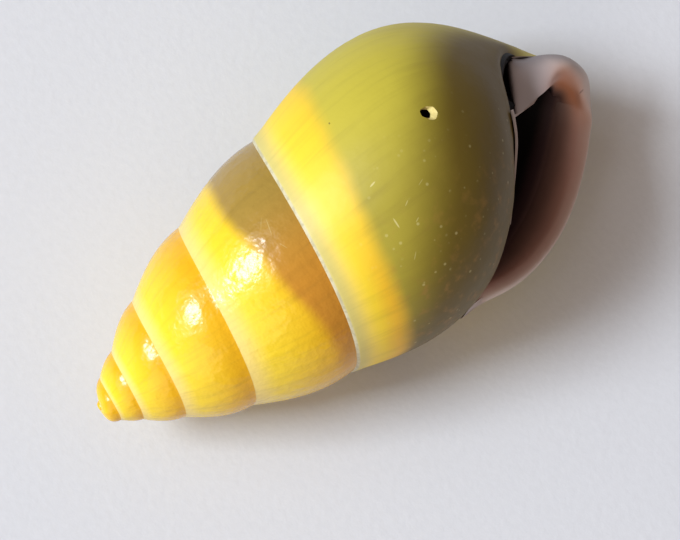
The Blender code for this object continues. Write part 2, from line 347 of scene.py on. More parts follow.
def plate(turn, share):
    """Points from the navel edge over the chink and the plate's free edge in to the column."""
    grown = slanted(turn, 1.0)
    edge_radius, edge_depth = navel(grown)
    over = ease(share / PLATE_EDGE)
    inwards = 1 - rise(share, PLATE_EDGE, PLATE_INWARDS)
    radius = edge_radius + (PLATE_RADIUS_SHARE * column_radius(turn) - edge_radius) * share
    radius = radius - plate_inset(turn) * over * inwards
    pit = PIT_DEPTH * rise(turn, PIT_START, PIT_SLOPE) * (1 - rise(turn, PIT_END, PIT_WALL))
    lift = (plate_lift(turn) * inwards - pit) * over * (1 - rise(share, PLATE_FOOT, 1 - PLATE_FOOT))
    drop = rim_drop(turn) * (1 - over)
    chink = chink_depth(turn) * np.sin(math.pi * np.clip(share / PLATE_EDGE, 0, 1))
    depth = edge_depth + (plate_depth(grown) - edge_depth) * share
    points = place(grown, radius, depth + lift - drop - chink - drawn_in(turn, 1.0))
    return points + under_roll(turn, (share - PLATE_EDGE / 2) / UNDER_ROLL_PLATE)


# %% [markdown]
# ## One skin, row by row
# A winding surface has no top and bottom row, so no ready-made primitive fits it. Each row of points
# runs across one growth line, and its last point is the first point of the row one turn later. That
# shared point is the suture, and it makes all turns one piece. Every face corner also remembers its
# turn and its place across the face, which the glaze reads later as a map.

# %% A skin that is built in rows
class Skin:
    """Points, faces and for each face corner its turn and its place across."""

    def __init__(self):
        self.points = []
        self.faces = []
        self.maps = []
        self.finishes = []

    def row(self, positions, turn, across):
        """Adds points and returns their corners: index, turn, across."""
        positions = np.atleast_2d(positions)
        turn = np.broadcast_to(turn, len(positions))
        across = np.broadcast_to(across, len(positions))
        first = len(self.points)
        self.points.extend(positions)
        return [(first + i, float(t), float(a)) for i, (t, a) in enumerate(zip(turn, across))]

    def face(self, finish, *corners):
        """A face; corners at one point are counted once."""
        kept = list({corner[0]: corner for corner in reversed(corners)}.values())[::-1]
        if len(kept) > 2:
            self.faces.append([corner[0] for corner in kept])
            self.maps.append([(corner[1], corner[2]) for corner in kept])
            self.finishes.append(finish)

    def strip(self, finish, first, second):
        for i in range(len(first) - 1):
            self.face(finish, first[i], first[i + 1], second[i + 1], second[i])

    def fan(self, finish, ring):
        middle = np.mean([self.points[corner[0]] for corner in ring], axis=0)
        (centre,) = self.row(middle, ring[0][1], ring[0][2])
        for a, b in zip(ring, ring[1:] + ring[:1]):
            self.face(finish, a, b, centre)


def relabel(corners, turn, across):
    """The same points, remembered with another turn and place across."""
    across = np.broadcast_to(across, len(corners))
    return [(corner[0], float(turn), float(a)) for corner, a in zip(corners, across)]


# %% [markdown]
# ### The outside
# Rows stand close enough that the outline stays round in a close view. The upper margin of each turn
# laps over the turn before as a thin raised hem, and old growth stops leave faint ridges. The base
# swells a little where the inner lip lies on it. All are moved points, so they also show on the
# outline and in the light.

# %% Outer faces of all turns
TURN_STEPS = 180
SIDE_STEPS = 22
SIDE_CROWDING = 1.6
BASE_STEPS = 34
OUTSIDE, LIP, INSIDE = 0, 1, 2

HEM_HEIGHT = 0.09
HEM_WIDTH = 0.006
HEM_FADE = 0.05
HEM_TURN = 4.4
HEM_TURNS = 0.5
GROWTH_RIDGES = ((19.0, 0.008), (43.0, 0.004), (71.0, 0.002))
RIDGE_RADIUS = 12
RIDGE_LEAST = 0.1
RIDGE_ACROSS = 0.5
RIDGE_FADE = 0.3
PAD_HEIGHT = 0.26
PAD_ACROSS = (0.55, 0.2)
PAD_START = (4.83, 0.05)
PAD_END = (5.06, 0.14)
RIM_ACROSS = (0.86, 0.14)


def relief(turn, across):
    """Height of the hem and of the growth ridges over the smooth face, in millimetres."""
    size = np.clip(suture_radius(turn + 1) / RIDGE_RADIUS, RIDGE_LEAST, 1)
    start = ease(across / HEM_WIDTH)
    hem = HEM_HEIGHT * rise(turn, HEM_TURN, HEM_TURNS) * start * (1 - ease(across / HEM_FADE))
    ridges = sum(height * np.sin(2 * math.pi * count * turn + count) for count, height in GROWTH_RIDGES)
    return hem + ridges * size * start * (1 - rise(across, RIDGE_ACROSS, RIDGE_FADE))


def outside_row(turn, across):
    """Points of the outside, with its relief, the pad under the inner lip and the raised rim."""
    pad = PAD_HEIGHT * rise(across, *PAD_ACROSS) * rise(turn, *PAD_START) * (1 - rise(turn, *PAD_END))
    points = outer(turn, across, -relief(turn, across) - pad)
    points[..., 2] += rim_drop(turn) * rise(across, *RIM_ACROSS)
    return points


def add_turns(skin):
    steps = int((LAST_TURN + 1) * TURN_STEPS)
    turns = LAST_TURN - np.arange(steps, -1, -1) / TURN_STEPS
    across = SIDE_SHARE * np.linspace(0, 1, SIDE_STEPS + 1)**SIDE_CROWDING
    (apex,) = skin.row(np.zeros(3), 0.0, 0.0)
    rows = [[apex] * SIDE_STEPS + skin.row(outer(turns[0], SIDE_SHARE), turns[0], SIDE_SHARE)]
    for i in range(1, steps + 1):
        head = rows[i - TURN_STEPS][-1] if i >= TURN_STEPS else apex
        new = skin.row(outside_row(turns[i], across[1:]), turns[i], across[1:])
        rows.append(relabel([head], turns[i], 0.0) + new)
    for first, second in zip(rows, rows[1:]):
        skin.strip(OUTSIDE, first, second)
    return turns[-TURN_STEPS - 1:], rows[-TURN_STEPS - 1:]


print("rows on all turns:", int((LAST_TURN + 1) * TURN_STEPS) + 1)

# %% [markdown]
# ### The base
# Only the last turn shows its base, because each new turn covers the one before. Its rows go on from
# the side rows and share their last point, so the skin has no seam there.

# %% Base of the last turn
CORNER_REACH = 0.06


def base_shares():
    """Spacing round the base: first the corner of the aperture, then even steps."""
    even = np.arange(1, BASE_STEPS) / (BASE_STEPS - 1)
    return np.concatenate([[0, CORNER_REACH], CORNER_REACH + (1 - CORNER_REACH) * even])


print("points round the base:", len(base_shares()))


def add_base(skin, turns, sides):
    across = SIDE_SHARE + (1 - SIDE_SHARE) * base_shares()
    rows = []
    for turn, side_row in zip(turns, sides):
        new = skin.row(outside_row(turn, across[1:]), turn, across[1:])
        rows.append([side_row[-1]] + new)
    for first, second in zip(rows, rows[1:]):
        skin.strip(OUTSIDE, first, second)
    return rows


# %% [markdown]
# ### The lip, the plate and the hollow
# The lip is lofted from the outer edge to the inner edge with a bulge between them, so it is round
# like a rolled hem. The hollow then runs ring by ring up the tube until it is out of sight.

# %% Lip, plate and hollow
TUBE_STEPS = 80
TUBE_END_TURN = 1.8
INNER_SIDE_FIRST = 0.16
INNER_SIDE_EXTRA = 0.2
INNER_BASE_LAST = 0.94
COLUMN_STEPS = 10
LIP_STEPS = 10
LIP_ROUND = 0.1
LIP_ROUND_IN = 0.1
LIP_ROUND_OUT = (0.85, 0.15)
CHINK_STEPS = 6
EDGE_STEPS = 5
EDGE_STEP = 0.02
PLATE_REST = 0.19
PLATE_STEPS = 8
PLATE_SHARES = np.concatenate([
    np.arange(0, CHINK_STEPS + 1) / CHINK_STEPS * PLATE_EDGE,
    PLATE_EDGE + np.arange(1, EDGE_STEPS + 1) * EDGE_STEP,
    np.linspace(PLATE_REST, 1, PLATE_STEPS + 1)[1:],
])
RING_MAP = 0.5
CEILING_MAP = 2
UNDER_PLATE_MAP = 3.0


def inner_across(turn):
    first = INNER_SIDE_FIRST + INNER_SIDE_EXTRA * near_lip(turn, LIP_EXTRA_LENGTH)
    on_side = SIDE_SHARE * np.linspace(first, 1, SIDE_STEPS)
    on_base = SIDE_SHARE + (1 - SIDE_SHARE) * np.linspace(0, INNER_BASE_LAST, BASE_STEPS)[1:]
    return np.concatenate([on_side, on_base])


def inner_row(skin, turn):
    across = inner_across(turn)
    return skin.row(outer(turn, across, wall(turn)), turn, across)


def column_row(skin, turn):
    return skin.row(column(turn, np.linspace(1, 0, COLUMN_STEPS + 1)), turn, 1.0)


def add_plate(skin, turns, bases, column_top):
    shares = PLATE_SHARES[1:]
    first = skin.row(plate(turns[0], shares[:-1]), turns[0], 1 + shares[:-1])
    rows = [[bases[0][-1]] + first + [column_top]]
    for turn, base_row in zip(turns[1:], bases[1:]):
        rows.append([base_row[-1]] + skin.row(plate(turn, shares), turn, 1 + shares))
    for first, second in zip(rows, rows[1:]):
        skin.strip(LIP, first, second)
    return rows


def stitch(skin, finish, first, second):
    """Triangles between two rows that may have different numbers of points."""
    first_last, second_last = len(first) - 1, len(second) - 1
    i = j = 0
    while i < first_last or j < second_last:
        if i < first_last and (j == second_last or (i + 1) * second_last <= (j + 1) * first_last):
            skin.face(finish, first[i], first[i + 1], second[j])
            i += 1
        else:
            skin.face(finish, first[i], second[j + 1], second[j])
            j += 1


def points_along(skin, corners, count):
    """count points spread evenly along a chain of corners."""
    chain = np.array([skin.points[corner[0]] for corner in corners])
    steps = np.linalg.norm(np.diff(chain, axis=0), axis=1)
    walked = np.concatenate([[0], np.cumsum(steps)])
    wanted = np.linspace(0, walked[-1], count)
    return np.stack([np.interp(wanted, walked, chain[:, k]) for k in range(3)], axis=-1)


def add_lip(skin, turns, sides, bases):
    """The lip between its outer and inner edge. Returns the ring on which the hollow starts."""
    inner_edge = [bases[0][1]] + inner_row(skin, LAST_TURN)
    column_edge = column_row(skin, LAST_TURN)
    plates = add_plate(skin, turns, bases, column_edge[-1])
    outer_path = sides[-1] + bases[-1][1:] + plates[-1][1:]
    inner_path = inner_edge + column_edge[:1]
    count = 2 * (SIDE_STEPS + BASE_STEPS)
    from_points = points_along(skin, outer_path, count)
    to_points = points_along(skin, inner_path, count)
    along = np.linspace(0, 1, count)
    angle = START_ANGLE + 2 * math.pi * LAST_TURN
    ahead = np.array([-math.sin(angle), math.cos(angle), 0])
    bulge = LIP_ROUND * ease(along / LIP_ROUND_IN) * (1 - rise(along, *LIP_ROUND_OUT))
    last_row = outer_path
    for step in range(1, LIP_STEPS):
        share = (1 - math.cos(math.pi * step / LIP_STEPS)) / 2
        points = from_points * (1 - share) + to_points * share
        points = points + ahead * (bulge * math.sin(math.pi * step / LIP_STEPS))[:, None]
        points = points[1:-1]
        new = skin.row(points, LAST_TURN + share, along[1:-1])
        stitch(skin, LIP, new, last_row)
        last_row = new
    stitch(skin, LIP, inner_path, last_row)
    stitch(skin, LIP, column_edge, [row[-1] for row in reversed(plates)])
    return inner_edge + column_edge + plates[0][-2:0:-1] + bases[0][:1:-1]


def add_hollow(skin, ring):
    steps = int((LAST_TURN - TUBE_END_TURN) * TUBE_STEPS)
    shares = PLATE_SHARES[-2:0:-1]
    reversed_base = base_shares()[:0:-1]
    ring = relabel(ring, LAST_TURN, RING_MAP)
    for turn in LAST_TURN - np.arange(1, steps + 1) / TUBE_STEPS:
        top = place(turn - 1, *base(turn - 1, reversed_base))
        ceiling = skin.row(top, turn, CEILING_MAP + reversed_base)
        under_plate = skin.row(plate(turn - 1, shares), turn, UNDER_PLATE_MAP)
        new_ring = ceiling[-1:] + inner_row(skin, turn) + column_row(skin, turn) + under_plate
        new_ring += ceiling[:-1]
        skin.strip(INSIDE, ring + ring[:1], new_ring + new_ring[:1])
        ring = new_ring
    skin.fan(INSIDE, ring)


print("points across the plate:", len(PLATE_SHARES))

# %% [markdown]
# ### The inner lip
# Where the lip crosses the turn before, it is only a thin raised edge of glaze. It is swept as a
# narrow ridge along a path that is given in turns and places across, so it stays on the shell. Its
# crest is pale, and its foot takes the chink's painted shade.

# %% Inner lip
INNER_LIP = ((5.055, 0.99), (5.02, 0.975), (4.98, 0.95), (4.945, 0.88), (4.92, 0.8), (4.9, 0.72),
             (4.88, 0.62))
INNER_LIP_HEIGHT = 0.66
INNER_LIP_WIDTH = 0.2
INNER_LIP_STEPS = 60
INNER_LIP_CORNERS = 16
INNER_LIP_THIN = 0.8
INNER_LIP_THIN_START = 0.35
INNER_LIP_FOOT = 0.4
SHADED_FOOT_MAP_TURN = 5.4
CREST_MAP_TURN = 4.5
INNER_LIP_MAP = 1.05


def add_inner_lip(skin):
    path_turn = spline([turn for turn, across in INNER_LIP])
    path_across = spline([across for turn, across in INNER_LIP])
    along = np.linspace(0, len(INNER_LIP) - 1, INNER_LIP_STEPS)
    middle = outer(path_turn(along), path_across(along))
    out = outer(path_turn(along), path_across(along), -1.0) - middle
    out = out / np.linalg.norm(out, axis=1)[:, None]
    forward = np.gradient(middle, axis=0)
    side_way = np.cross(forward, out)
    side_way = side_way / np.linalg.norm(side_way, axis=1)[:, None]
    thin = rise(along[:, None] / along[-1], INNER_LIP_THIN_START, 1 - INNER_LIP_THIN_START)
    size = 1 - INNER_LIP_THIN * thin
    last_row = None
    for angle in np.linspace(0, 2 * math.pi, INNER_LIP_CORNERS + 1):
        height = INNER_LIP_HEIGHT * size * math.sin(angle)
        points = middle + out * height + side_way * (INNER_LIP_WIDTH * size * math.cos(angle))
        # painted shade: the ridge's foot is mapped into the chink's painted shade, its crest onto the
        # pale lip
        map_turn = SHADED_FOOT_MAP_TURN if math.sin(angle) < INNER_LIP_FOOT else CREST_MAP_TURN
        new = skin.row(points, map_turn, INNER_LIP_MAP)
        if last_row:
            skin.strip(LIP, last_row, new)
        last_row = new


print("inner lip, guide points:", len(INNER_LIP))

# %% [markdown]
# ### The rolled lip
# A grown snail turns its lip outwards and rolls it. At the upper corner the roll broadens into the
# plate. It is lofted through sections with four guide points each: the outer edge, the crest, the
# inner edge and a point inside the tube. Only the corner needs guides of its own; down the aperture
# they follow from the lip's own formulas.

# %% Rolled lip
CORNER_GUIDES = (
    ((4.2, 2.9, -45.7), (2.5, 2.3, -44.5), (-0.3, 2.2, -43.2), (-0.2, 4.1, -43.4)),
    ((3.9, 1.7, -45.6), (2.3, 0.5, -44.4), (-0.5, 0.8, -42.9), (-0.3, 3.6, -43.4)),
    ((3.1, 2.2, -46.4), (1.9, 0.7, -45.3), (-0.6, 1.0, -43.9), (-0.4, 4.0, -44.4)),
    ((2.5, 2.8, -47.7), (1.5, 1.5, -46.5), (-0.5, 0.9, -45.0), (-0.2, 4.4, -45.7)),
    ((1.9, 3.3, -48.9), (1.0, 2.0, -47.8), (-0.4, 1.1, -46.4), (-0.2, 5.2, -47.3)),
    ((1.1, 3.7, -49.9), (0.5, 2.3, -48.8), (-0.3, 2.3, -47.8), (-1.0, 7.0, -47.8)),
    ((-0.1, 4.2, -50.6), (-0.4, 3.1, -49.6), (-0.9, 4.0, -48.7), (-1.3, 7.2, -48.0)),
    ((-1.5, 5.6, -51.0), (-1.5, 4.6, -50.0), (-1.8, 5.6, -49.2), (-1.6, 7.5, -48.1)),
    ((-2.8, 6.7, -50.6), (-2.8, 6.0, -49.8), (-2.8, 6.8, -49.2), (-1.9, 7.8, -47.9)),
)
ROLL_PLACES = (0.74, 0.68, 0.62, 0.56, 0.5, 0.44, 0.38, 0.32, 0.26, 0.2, 0.14, 0.08, 0.03)
ROLL_CREST = (0.45, 0.6)
ROLL_INNER = (-0.15, 1.25)
ROLL_BEHIND = 0.005
ROLL_CREST_FADE = 0.14
ROLL_INSIDE_LEAST = 0.13
ROLL_OVERLAP = 0.05
ROLL_BACK = 0.045
ROLL_BACK_CORNER = 0.12
ROLL_BACK_CHANGE = (3.8, 1.4)
ROLL_TOP = 0.012
ROLL_STEPS = 8
ROLL_OVER, ROLL_INTO, ROLL_UNDER = 12, 6, 3
ROLL_MAP = 10.0
ROLLED = 3


def roll_guides(across):
    """Outer edge, crest, inner edge and inside point of the roll at one place across the face."""
    edge = outer(LAST_TURN, across)
    ahead = edge - outer(LAST_TURN - ROLL_BEHIND, across)
    ahead = ahead / np.linalg.norm(ahead)
    out = outer(LAST_TURN, across, -1.0) - edge
    size = float(ease(across / ROLL_CREST_FADE))
    crest = edge + ahead * ROLL_CREST[0] * size - out * ROLL_CREST[1]
    inner = edge + ahead * ROLL_INNER[0] - out * ROLL_INNER[1]
    back = LAST_TURN - ROLL_BACK
    inside = outer(back, max(across, ROLL_INSIDE_LEAST), wall(back) - ROLL_OVERLAP)
    return edge, crest, inner, inside


def roll_section(edge, crest, inner, inside):
    """Points round one section: over the crest, into the tube and back under the roll."""
    handle = 2 * crest - (edge + inner) / 2
    share = np.linspace(0, 1, ROLL_OVER + 1)[:, None]
    over = edge * (1 - share)**2 + handle * 2 * share * (1 - share) + inner * share**2
    share = np.linspace(0, 1, ROLL_INTO + 1)[1:, None]
    into = inner + (inside - inner) * share
    share = np.linspace(0, 1, ROLL_UNDER + 1)[1:-1, None]
    under = inside + (edge - inside) * share
    return np.concatenate([over, into, under])


def roll_backs(s):
    """How many turns behind the lip the points of section s count for the throat's colours and painted
    shade.
    """
    corner = float(rise(s, *ROLL_BACK_CHANGE))
    deep = ROLL_BACK_CORNER + (ROLL_BACK - ROLL_BACK_CORNER) * corner
    over = np.linspace(0, ROLL_TOP, ROLL_OVER + 1)
    into = np.linspace(ROLL_TOP, deep, ROLL_INTO + 1)[1:]
    return np.concatenate([over, into, [deep] * (ROLL_UNDER - 1)])


def add_roll(skin):
    sections = np.array(list(CORNER_GUIDES) + [roll_guides(across) for across in ROLL_PLACES])
    count = len(sections)
    curve = [[spline(sections[:, k, axis]) for axis in range(3)] for k in range(4)]
    first = last_row = None
    for s in np.linspace(0, count - 1, (count - 1) * ROLL_STEPS + 1):
        guides = [np.array([axis(s) for axis in guide]) for guide in curve]
        new = skin.row(roll_section(*guides), LAST_TURN - roll_backs(s), ROLL_MAP + s)
        new.append(new[0])
        if last_row:
            skin.strip(ROLLED, last_row, new)
        else:
            first = new
        last_row = new
    skin.fan(ROLLED, first[:-1])
    skin.fan(ROLLED, last_row[:-1])


print("sections of the roll:", len(CORNER_GUIDES) + len(ROLL_PLACES))

# %% [markdown]
# ### The mesh
# The shell was drawn upright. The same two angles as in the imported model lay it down, and the packed
# box says where it lies, so no part of it has to be fitted by hand.

# %% Lay it down
DOWN_ANGLE = math.radians(95.95)
APEX_LEAN = math.radians(9.73)


def lying():
    """Rotation that lays the shell down: apex towards -X, the DOWN_ANGLE side of the axis down."""
    to_side = Vector((math.cos(DOWN_ANGLE), math.sin(DOWN_ANGLE), 0))
    down = to_side * math.cos(APEX_LEAN) + Vector((0, 0, math.sin(APEX_LEAN)))
    forward = to_side * math.sin(APEX_LEAN) - Vector((0, 0, math.cos(APEX_LEAN)))
    up = -down
    return Matrix((forward, up.cross(forward), up)).to_4x4()


skin = Skin()
turns, sides = add_turns(skin)
bases = add_base(skin, turns, sides)
add_hollow(skin, add_lip(skin, turns, sides, bases))
add_inner_lip(skin)
add_roll(skin)
to_lying = np.array(lying().to_3x3()).T
points = np.array(skin.points) * MM @ to_lying
low, high = points.min(axis=0), points.max(axis=0)
middle = (np.array(cad_low) + np.array(cad_high)) / 2
shift = middle - (low + high) / 2
shift[2] = cad_low[2] - low[2]
points = points + shift

mesh = bpy.data.meshes.new("shell_skin")
mesh.from_pydata(points.tolist(), [], skin.faces)
growth = mesh.uv_layers.new(name="growth")
corner_maps = np.array([corner for face in skin.maps for corner in face], np.float32)
growth.uv.foreach_set("vector", corner_maps.ravel())
mesh.polygons.foreach_set("material_index", np.array(skin.finishes, np.int32))
mesh.validate()
shell = bpy.data.objects.new("shell_skin", mesh)
bpy.context.scene.collection.objects.link(shell)
bpy.context.view_layer.objects.active = shell
shell.select_set(True)
bpy.ops.object.mode_set(mode="EDIT")
bpy.ops.mesh.select_all(action="SELECT")
bpy.ops.mesh.normals_make_consistent(inside=False)
bpy.ops.object.mode_set(mode="OBJECT")
print("faces:", len(mesh.polygons), "box, mm:", ((high - low) * 1000).round(1))

# %% [markdown]
# ### The lip's upper corner
# Where the lip runs into the plate the skin was folded from flat strips. A real lip is laid down
# wet and has no folds, so the points of the plate and of the lip's end are relaxed towards their
# neighbours until the creases are gone. The rolled lip keeps its form.

# %% Relax the fold
FOLD_ROUNDS = 60
FOLD_FACTOR = 0.5
FOLD_TURN = 4.9
FOLD_PLATE = (1.02, 1.95)
FOLD_LIP = 0.72
FOLD_BACK = 0.02
FOLD_INSIDE = 0.9


def to_scene(positions):
    """Points of the standing shell, in millimetres, where they lie in the scene."""
    return np.atleast_2d(positions) * MM @ to_lying + shift


def at_fold(labels):
    """Whether a point with these kinds and map places lies on the plate, the lip's end or its corner."""
    if any(kind == ROLLED for kind, turn, across in labels):
        return False
    first, last = FOLD_PLATE
    on_lip = all(kind == LIP for kind, turn, across in labels)
    on_plate = on_lip and all(
        turn > FOLD_TURN and first < across < last for kind, turn, across in labels
    )
    at_end = on_lip and all(turn > LAST_TURN and across > FOLD_LIP for kind, turn, across in labels)
    back = LAST_TURN - FOLD_BACK
    at_corner = all(turn > back and across > FOLD_INSIDE for kind, turn, across in labels)
    return on_plate or at_end or at_corner


def relax_fold():
    """Move every point near the fold towards the middle of its neighbours, many times."""
    bm = bmesh.new()
    bm.from_mesh(mesh)
    growth_map = bm.loops.layers.uv["growth"]
    near = []
    for vert in bm.verts:
        labels = [(loop.face.material_index, *loop[growth_map].uv) for loop in vert.link_loops]
        if at_fold(labels):
            near.append(vert)
    axes = {"use_axis_x": True, "use_axis_y": True, "use_axis_z": True}
    for _ in range(FOLD_ROUNDS):
        bmesh.ops.smooth_vert(bm, verts=near, factor=FOLD_FACTOR, **axes)
    bm.to_mesh(mesh)
    bm.free()
    print("relaxed points:", len(near))


relax_fold()

# %% [markdown]
# ### The tiny hole
# The shell has one small hole with a chipped edge on its last turn. It is cut with an uneven cone
# that leans, so that one wall is steep and the other is a slanting chip of bare shell.

# %% Cut the hole
HOLE_TURN = 5.108
HOLE_ACROSS = 0.423
HOLE_RADIUS = 0.68
HOLE_CORNERS = 28
HOLE_LEAN = 0.45
HOLE_LEAN_TO = (0.006, -0.01)
HOLE_RINGS = ((0.3, 1.1, 0.0), (0.0, 1.0, 0.0), (-0.3, 0.7, 0.7), (-1.0, 0.6, 1.0))
HOLE_WAVES = ((0.1, 2, 1), (0.06, 3, 0), (0.04, 7, 0))
SHARP_ANGLE = math.radians(40)
BARE = 4


def cutter_points():
    """Rings of an uneven cone: wide above the face, narrow and leaning to one side below it."""
    centre = outer(HOLE_TURN, HOLE_ACROSS)
    out = outer(HOLE_TURN, HOLE_ACROSS, -1.0) - centre
    lean_way = outer(HOLE_TURN + HOLE_LEAN_TO[0], HOLE_ACROSS + HOLE_LEAN_TO[1]) - centre
    lean_way = lean_way / np.linalg.norm(lean_way)
    other = np.cross(out, lean_way)
    found = []
    for height, size, lean in HOLE_RINGS:
        for k in range(HOLE_CORNERS):
            angle = 2 * math.pi * k / HOLE_CORNERS
            uneven = sum((part * math.sin(waves * angle + late) for part, waves, late in HOLE_WAVES), 1)
            reach = HOLE_RADIUS * size * uneven
            sideways = reach * math.cos(angle) + HOLE_LEAN * lean
            point = centre + out * height + lean_way * sideways + other * (reach * math.sin(angle))
            found.append(point)
    return to_scene(np.array(found))


def make_cutter():
    verts = cutter_points()
    levels = len(HOLE_RINGS) - 1
    bottom = range(levels * HOLE_CORNERS, (levels + 1) * HOLE_CORNERS)
    faces = [tuple(range(HOLE_CORNERS)), tuple(reversed(bottom))]
    for level in range(levels):
        for k in range(HOLE_CORNERS):
            a, b = level * HOLE_CORNERS + k, level * HOLE_CORNERS + (k + 1) % HOLE_CORNERS
            faces.append((a, a + HOLE_CORNERS, b + HOLE_CORNERS, b))
    cutter_mesh = bpy.data.meshes.new("cutter")
    cutter_mesh.from_pydata(verts.tolist(), [], faces)
    cutter_mesh.uv_layers.new(name="growth")
    cutter_mesh.polygons.foreach_set("material_index", [BARE] * len(cutter_mesh.polygons))
    return bpy.data.objects.new("cutter", cutter_mesh)


def cut_hole():
    cutter = make_cutter()
    bpy.context.scene.collection.objects.link(cutter)
    for name in ("outside", "lip", "inside", "rolled", "bare"):
        slot = bpy.data.materials.new("blank_" + name)
        mesh.materials.append(slot)
        cutter.data.materials.append(slot)
    cut = shell.modifiers.new("hole", "BOOLEAN")
    cut.operation = "DIFFERENCE"
    cut.solver = "EXACT"
    cut.object = cutter
    bpy.context.view_layer.objects.active = shell
    bpy.ops.object.modifier_apply(modifier=cut.name)
    bpy.data.objects.remove(cutter, do_unlink=True)
    print("faces after the cut:", len(shell.data.polygons))


cut_hole()
mesh = shell.data
mesh.shade_smooth()
mesh.set_sharp_from_angle(angle=SHARP_ANGLE)

# %% [markdown]
# ## Node sums as plain Python
# A material is a graph of small sums. Written as Python expressions they stay short to read.

# %% A class that turns expressions into nodes
class Value:
    """A socket of a material, with Python's operators as Math nodes."""

    def __init__(self, tree, socket):
        self.tree = tree
        self.socket = socket

    def math(self, operation, a, b=None, c=None):
        node = self.tree.nodes.new("ShaderNodeMath")
        node.operation = operation
        for socket, value in zip(node.inputs, (a, b, c)):
            if isinstance(value, Value):
                self.tree.links.new(value.socket, socket)
            elif value is not None:
                socket.default_value = value
        return Value(self.tree, node.outputs[0])

    def __add__(self, other):
        return self.math("ADD", self, other)

    def __radd__(self, other):
        return self.math("ADD", other, self)

    def __sub__(self, other):
        return self.math("SUBTRACT", self, other)

    def __rsub__(self, other):
        return self.math("SUBTRACT", other, self)

    def __mul__(self, other):
        return self.math("MULTIPLY", self, other)

    def __rmul__(self, other):
        return self.math("MULTIPLY", other, self)

    def __truediv__(self, other):
        return self.math("DIVIDE", self, other)

    def step(self, start, end):
        """0 at start, 1 at end, smooth between; start may be above end."""
        node = self.tree.nodes.new("ShaderNodeMapRange")
        node.interpolation_type = "SMOOTHSTEP"
        numbers = not isinstance(start, Value) and not isinstance(end, Value)
        flip = numbers and start > end
        low, high = (end, start) if flip else (start, end)
        for name, value in (("Value", self), ("From Min", low), ("From Max", high)):
            if isinstance(value, Value):
                self.tree.links.new(value.socket, node.inputs[name])
            else:
                node.inputs[name].default_value = value
        made = Value(self.tree, node.outputs["Result"])
        return 1 - made if flip else made


class Finish:
    """A material with one Principled shader, and short ways to add nodes to it.

    Sockets are named with _ for a space, or by their number as _0, _1 and so on.
    """

    def __init__(self, name, **constants):
        self.material = bpy.data.materials.new(name)
        self.material.use_nodes = True
        self.tree = self.material.node_tree
        self.surface = self.tree.nodes["Principled BSDF"]
        for socket, value in constants.items():
            self.surface.inputs[socket.replace("_", " ")].default_value = value

    def node(self, kind, settings=None, out=0, **inputs):
        """Any node: its type, settings, which output, and values or links by socket name."""
        node = self.tree.nodes.new(kind)
        for key, value in (settings or {}).items():
            setattr(node, key, value)
        for key, value in inputs.items():
            name = int(key[1:]) if key[1:].isdigit() else key.replace("_", " ")
            socket = node.inputs[name]
            if isinstance(value, Value):
                self.tree.links.new(value.socket, socket)
            else:
                socket.default_value = value
        return Value(self.tree, node.outputs[out])

    def mix(self, share, a, b):
        """Colour a, towards colour b as share goes to 1."""
        return self.node(
            "ShaderNodeMix", {"data_type": "RGBA", "clamp_factor": True}, 2, _0=share, _6=a, _7=b
        )

    def noise(self, vector, scale, detail=2.0, roughness=0.5):
        return self.node(
            "ShaderNodeTexNoise", None, 0, Vector=vector, Scale=scale, Detail=detail, Roughness=roughness
        )

    def set(self, **links):
        for key, value in links.items():
            self.tree.links.new(value.socket, self.surface.inputs[key.replace("_", " ")])

    def bump(self, height, distance, strength=1.0):
        return self.node("ShaderNodeBump", None, 0, Height=height, Distance=distance, Strength=strength)


def linear(v):
    """A channel of 0 to 255 as Blender's linear value."""
    return ((v / 255 + 0.055) / 1.055)**2.4 if v > 10 else v / 255 / 12.92


def srgb(red, green, blue):
    """A colour as a paint chart gives it, 0 to 255 for each channel."""
    return (linear(red), linear(green), linear(blue), 1.0)


print("mid grey, linear:", round(srgb(128, 128, 128)[0], 3))


# %% [markdown]
# ## The outside's glaze
# The spire is clear yellow. On the last two turns an olive brown spreads from the lower suture and
# leaves a yellow band under the upper one. A pale hem marks every suture. The map of turn and place
# across puts each colour where the snail laid it down, so no picture is needed.

# %% Colours of the outside
YELLOW = srgb(238, 208, 48)
AMBER = srgb(228, 168, 24)
CREAM = srgb(232, 206, 130)
KHAKI = srgb(160, 130, 58)
RUST = srgb(196, 134, 44)
LIME = srgb(166, 152, 52)
PALE_LIME = srgb(190, 176, 60)
OLIVE_BROWN_AND_SHADE = srgb(102, 84, 22)
FRINGE = srgb(224, 164, 34)
HEM = srgb(200, 192, 162)
HEM_GAP = srgb(180, 172, 140)
HEM_SHADE = srgb(176, 176, 110)
SPECK = srgb(222, 212, 150)
BROWN_DOT = srgb(104, 84, 36)
MOTTLE = srgb(160, 118, 56)

YOUNG = (4.6, 4.8)
CLOUD_SCALE = 160.0
MOTTLE_SCALE = 900.0


def growth_map(f):
    """Turn and place across, as the skin's map gives them."""
    place_node = f.node("ShaderNodeUVMap", {"uv_map": "growth"})
    parts = [f.node("ShaderNodeSeparateXYZ", None, axis, Vector=place_node) for axis in (0, 1)]
    return parts[0], parts[1]


class Place:
    """What the colours of the outside go by: the map, two noises and how young the turn is."""

    def __init__(self, f):
        self.turn, self.across = growth_map(f)
        self.here = f.node("ShaderNodeTexCoord", None, 3)
        self.cloud = f.noise(self.here, CLOUD_SCALE, 3.0)
        self.mottle = f.noise(self.here, MOTTLE_SCALE, 3.0, 0.6)
        self.young = self.turn.step(*YOUNG)
